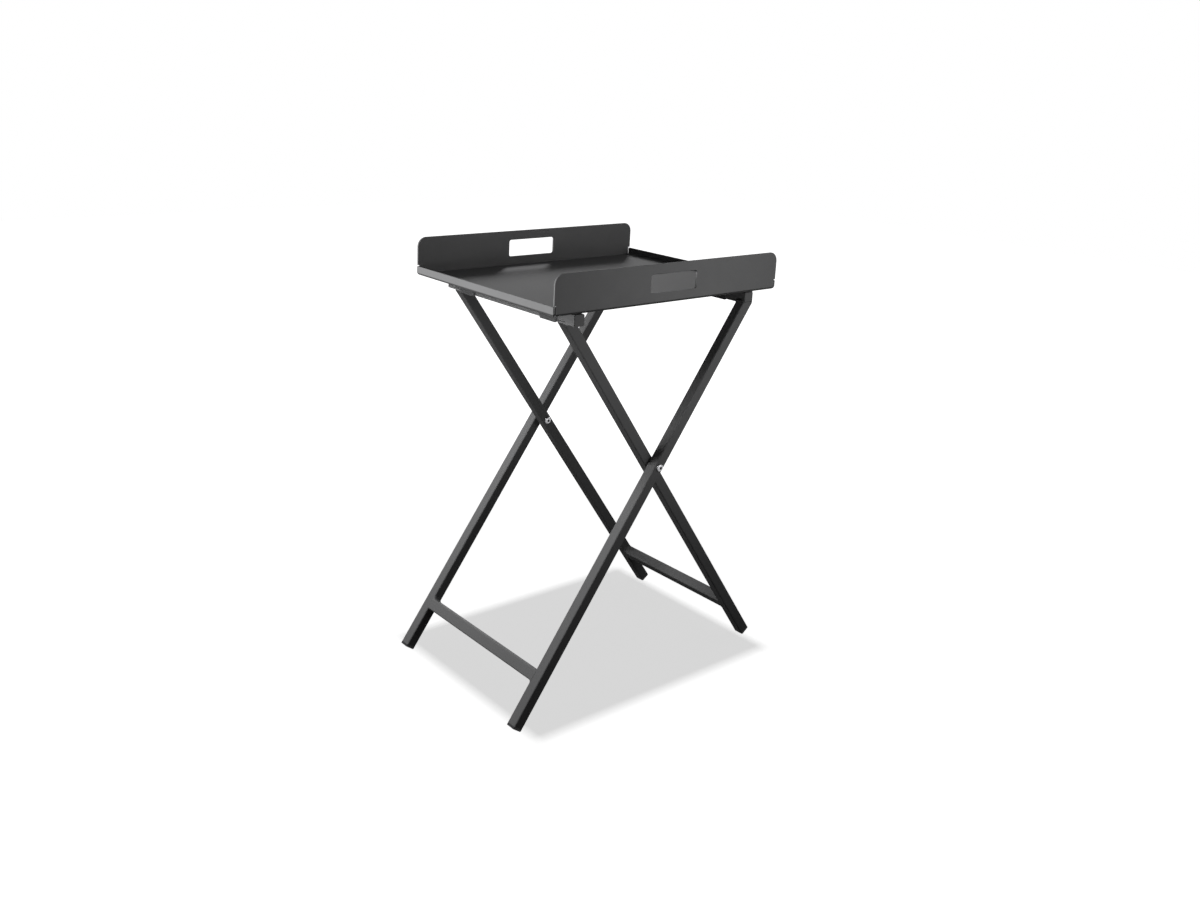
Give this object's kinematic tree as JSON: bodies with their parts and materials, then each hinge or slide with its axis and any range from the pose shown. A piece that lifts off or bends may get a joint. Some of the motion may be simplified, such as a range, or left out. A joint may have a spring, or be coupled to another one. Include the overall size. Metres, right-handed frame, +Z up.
{
  "type": "tray table",
  "caption": "Folding tray table: a lift-off sheet tray with tall handled sides and low end lips, carried on crossed square-tube frames that fold about a shared pivot line.",
  "frame": {"origin": "on the floor, under the pivot line, midway between the feet", "axes": "+X along the tray's tall sides towards the saddle end, +Y from front to rear along the pivot line, +Z up"},
  "size_m": [0.598, 0.395, 0.779],
  "materials": {
    "tray_coat": "matt charcoal powder coat",
    "bracket_coat": "matt charcoal powder coat",
    "frame_coat": "matt charcoal powder coat",
    "foot_plastic": "moulded black plastic",
    "pivot_nylon": "black nylon",
    "pivot_steel": "bright stainless steel",
    "strip_rubber": "black rubber"
  },
  "bodies": {
    "outer_frame": {"outer_crossbar": "frame_coat", "outer_end_plate_front": "frame_coat", "outer_end_plate_rear": "frame_coat", "outer_foot_cap_front": "foot_plastic", "outer_foot_cap_rear": "foot_plastic", "outer_leg_front": "frame_coat", "outer_leg_rear": "frame_coat", "outer_pivot_bush_front": "pivot_nylon", "outer_pivot_bush_rear": "pivot_nylon", "outer_stretcher": "frame_coat", "pivot_screw_front": "pivot_steel", "pivot_screw_rear": "pivot_steel", "pivot_sleeve_front": "pivot_steel", "pivot_sleeve_rear": "pivot_steel", "pivot_spacer_front": "pivot_nylon", "pivot_spacer_rear": "pivot_nylon", "saddle_strip_front": "strip_rubber", "saddle_strip_rear": "strip_rubber"},
    "inner_frame": {"inner_crossbar": "frame_coat", "inner_end_plate_front": "frame_coat", "inner_end_plate_rear": "frame_coat", "inner_foot_cap_front": "foot_plastic", "inner_foot_cap_rear": "foot_plastic", "inner_leg_front": "frame_coat", "inner_leg_rear": "frame_coat", "inner_pivot_bush_front": "pivot_nylon", "inner_pivot_bush_rear": "pivot_nylon", "inner_stretcher": "frame_coat"},
    "tray": {"hook_strip_front": "strip_rubber", "hook_strip_rear": "strip_rubber", "tray_hook_front": "bracket_coat", "tray_hook_rear": "bracket_coat", "tray_pan": "tray_coat", "tray_saddle_front": "bracket_coat", "tray_saddle_rear": "bracket_coat"}
  },
  "joints": [
    {"name": "stand_fold", "type": "hinge", "parent": "outer_frame", "child": "inner_frame", "pos_m": [0, 0, 0.414], "axis": [0, 1, 0], "range_deg": [0, 63]},
    {"name": "tray_lift", "type": "slide", "parent": "outer_frame", "child": "tray", "axis": [0, 0, 1], "range_m": [0, 0.31]}
  ],
  "couplings": [
    {"joint": "tray_lift", "follows": "stand_fold", "m_per_rad": 0.28}
  ]
}
